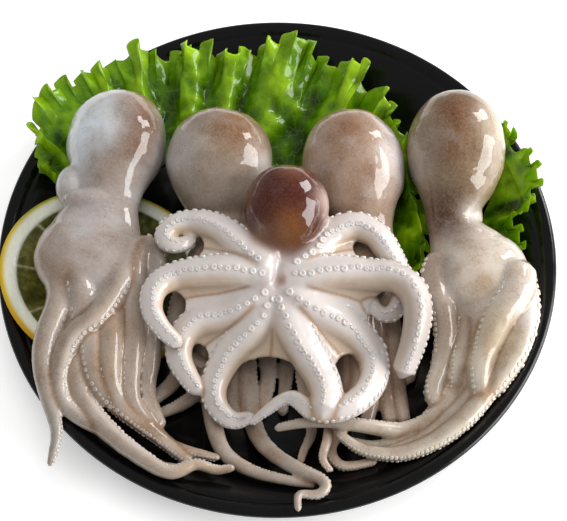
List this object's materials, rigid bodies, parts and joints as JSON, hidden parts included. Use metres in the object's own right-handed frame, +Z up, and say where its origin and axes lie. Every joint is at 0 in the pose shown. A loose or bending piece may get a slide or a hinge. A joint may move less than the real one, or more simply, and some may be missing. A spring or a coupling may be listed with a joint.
{
  "type": "plated whole octopus",
  "caption": "Raw baby octopuses lying whole on lettuce with a slice of lemon, on a round glossy black coupe plate.",
  "frame": {"origin": "middle of the plate's flat underside", "axes": "+Z up out of the plate, +Y towards the octopuses' mantles, +X to the viewer's right when the mantles point away"},
  "size_m": [0.2, 0.2, 0.0514],
  "materials": {
    "black_glaze": "gloss black glaze",
    "octopus_flesh": "wet, soft, slightly see-through",
    "lettuce_green": "wet leaf, satin",
    "lemon_flesh": "wet, satin"
  },
  "bodies": {
    "root": {"plate": "black_glaze", "lemon_slice": "lemon_flesh", "lettuce_left": "lettuce_green", "lettuce_middle": "lettuce_green", "lettuce_right": "lettuce_green", "octopus_left": "octopus_flesh", "octopus_back_left": "octopus_flesh", "octopus_centre": "octopus_flesh", "octopus_back_right": "octopus_flesh", "octopus_right": "octopus_flesh"}
  },
  "joints": []
}
